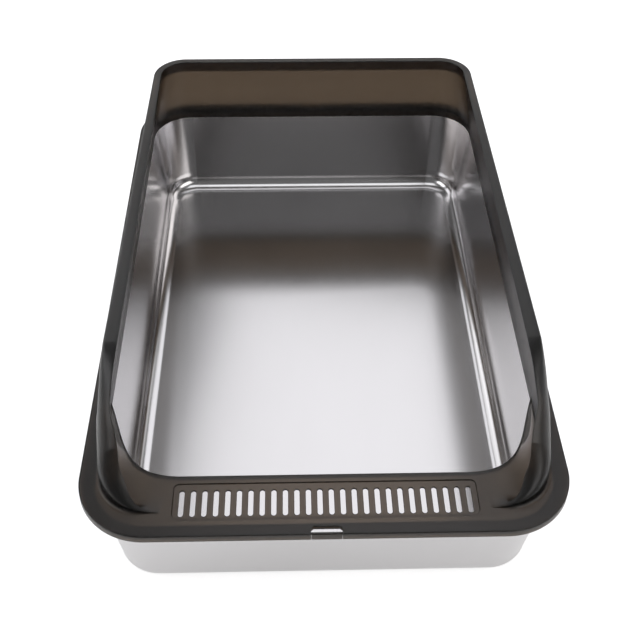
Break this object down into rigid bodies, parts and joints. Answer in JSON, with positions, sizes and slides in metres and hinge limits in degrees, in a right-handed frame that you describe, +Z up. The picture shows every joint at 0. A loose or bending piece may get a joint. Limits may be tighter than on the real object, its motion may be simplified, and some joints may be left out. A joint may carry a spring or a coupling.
{
  "type": "litter box",
  "caption": "Deep rectangular steel pan with a smoked plastic enclosure that lifts off: its wall leans in on three sides and falls to a low slotted apron in front",
  "frame": {"origin": "on the floor under the middle of the box's bounding box", "axes": "+Z up, +Y along the length toward the high back wall, -Y the low front with the slotted apron, +X to the right of someone who faces the front"},
  "size_m": [0.4, 0.6, 0.1811],
  "materials": {
    "steel": "satin deep drawn stainless steel",
    "smoked_plastic": "translucent smoked brown-black, glossy inside and satin on top",
    "foot_rubber": "matt black"
  },
  "bodies": {
    "base": {"pan": "steel", "foot_front_left": "foot_rubber", "foot_front_right": "foot_rubber", "foot_back_left": "foot_rubber", "foot_back_right": "foot_rubber"},
    "top": {"enclosure": "smoked_plastic"},
    "snap_front": {"catch_front": "smoked_plastic"},
    "snap_back": {"catch_back": "smoked_plastic"},
    "snap_left_front": {"catch_left_front": "smoked_plastic"},
    "snap_left_back": {"catch_left_back": "smoked_plastic"},
    "snap_right_front": {"catch_right_front": "smoked_plastic"},
    "snap_right_back": {"catch_right_back": "smoked_plastic"}
  },
  "joints": [
    {"name": "enclosure_lift", "type": "slide", "parent": "base", "child": "top", "axis": [0, 0, 1], "range_m": [0, 0.1]},
    {"name": "front_snap", "type": "hinge", "parent": "top", "child": "snap_front", "pos_m": [0, -0.2992, 0.1061], "axis": [-1, 0, 0], "range_deg": [0, 6], "stiffness_Nm_per_rad": 0.05},
    {"name": "back_snap", "type": "hinge", "parent": "top", "child": "snap_back", "pos_m": [0, 0.2992, 0.1061], "axis": [1, 0, 0], "range_deg": [0, 6], "stiffness_Nm_per_rad": 0.05},
    {"name": "left_front_snap", "type": "hinge", "parent": "top", "child": "snap_left_front", "pos_m": [-0.1992, -0.116, 0.1061], "axis": [0, 1, 0], "range_deg": [0, 6], "stiffness_Nm_per_rad": 0.05},
    {"name": "left_back_snap", "type": "hinge", "parent": "top", "child": "snap_left_back", "pos_m": [-0.1992, 0.116, 0.1061], "axis": [0, 1, 0], "range_deg": [0, 6], "stiffness_Nm_per_rad": 0.05},
    {"name": "right_front_snap", "type": "hinge", "parent": "top", "child": "snap_right_front", "pos_m": [0.1992, -0.116, 0.1061], "axis": [0, -1, 0], "range_deg": [0, 6], "stiffness_Nm_per_rad": 0.05},
    {"name": "right_back_snap", "type": "hinge", "parent": "top", "child": "snap_right_back", "pos_m": [0.1992, 0.116, 0.1061], "axis": [0, -1, 0], "range_deg": [0, 6], "stiffness_Nm_per_rad": 0.05}
  ]
}
